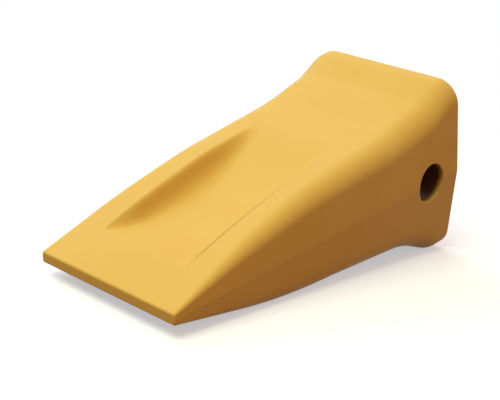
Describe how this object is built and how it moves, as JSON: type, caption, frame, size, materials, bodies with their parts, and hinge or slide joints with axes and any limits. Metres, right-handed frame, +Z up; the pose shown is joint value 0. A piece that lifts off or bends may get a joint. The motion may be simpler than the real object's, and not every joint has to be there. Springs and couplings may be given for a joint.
{
  "type": "bucket tooth",
  "caption": "Cast wedge tooth for an excavator bucket, with a hollowed top between side ribs, a thick collar, a nose pocket behind and a cross pin bore.",
  "frame": {"origin": "centre of the ground patch under the tooth, which lies on its cutting edge and on the lip under its collar", "axes": "+X across the bucket lip, +Y from the cutting edge back to the collar, +Z up"},
  "size_m": [0.1212, 0.2664, 0.1186],
  "materials": {
    "painted_casting": "satin yellow paint over smooth cast steel"
  },
  "bodies": {
    "root": {"tooth": "painted_casting"}
  },
  "joints": []
}
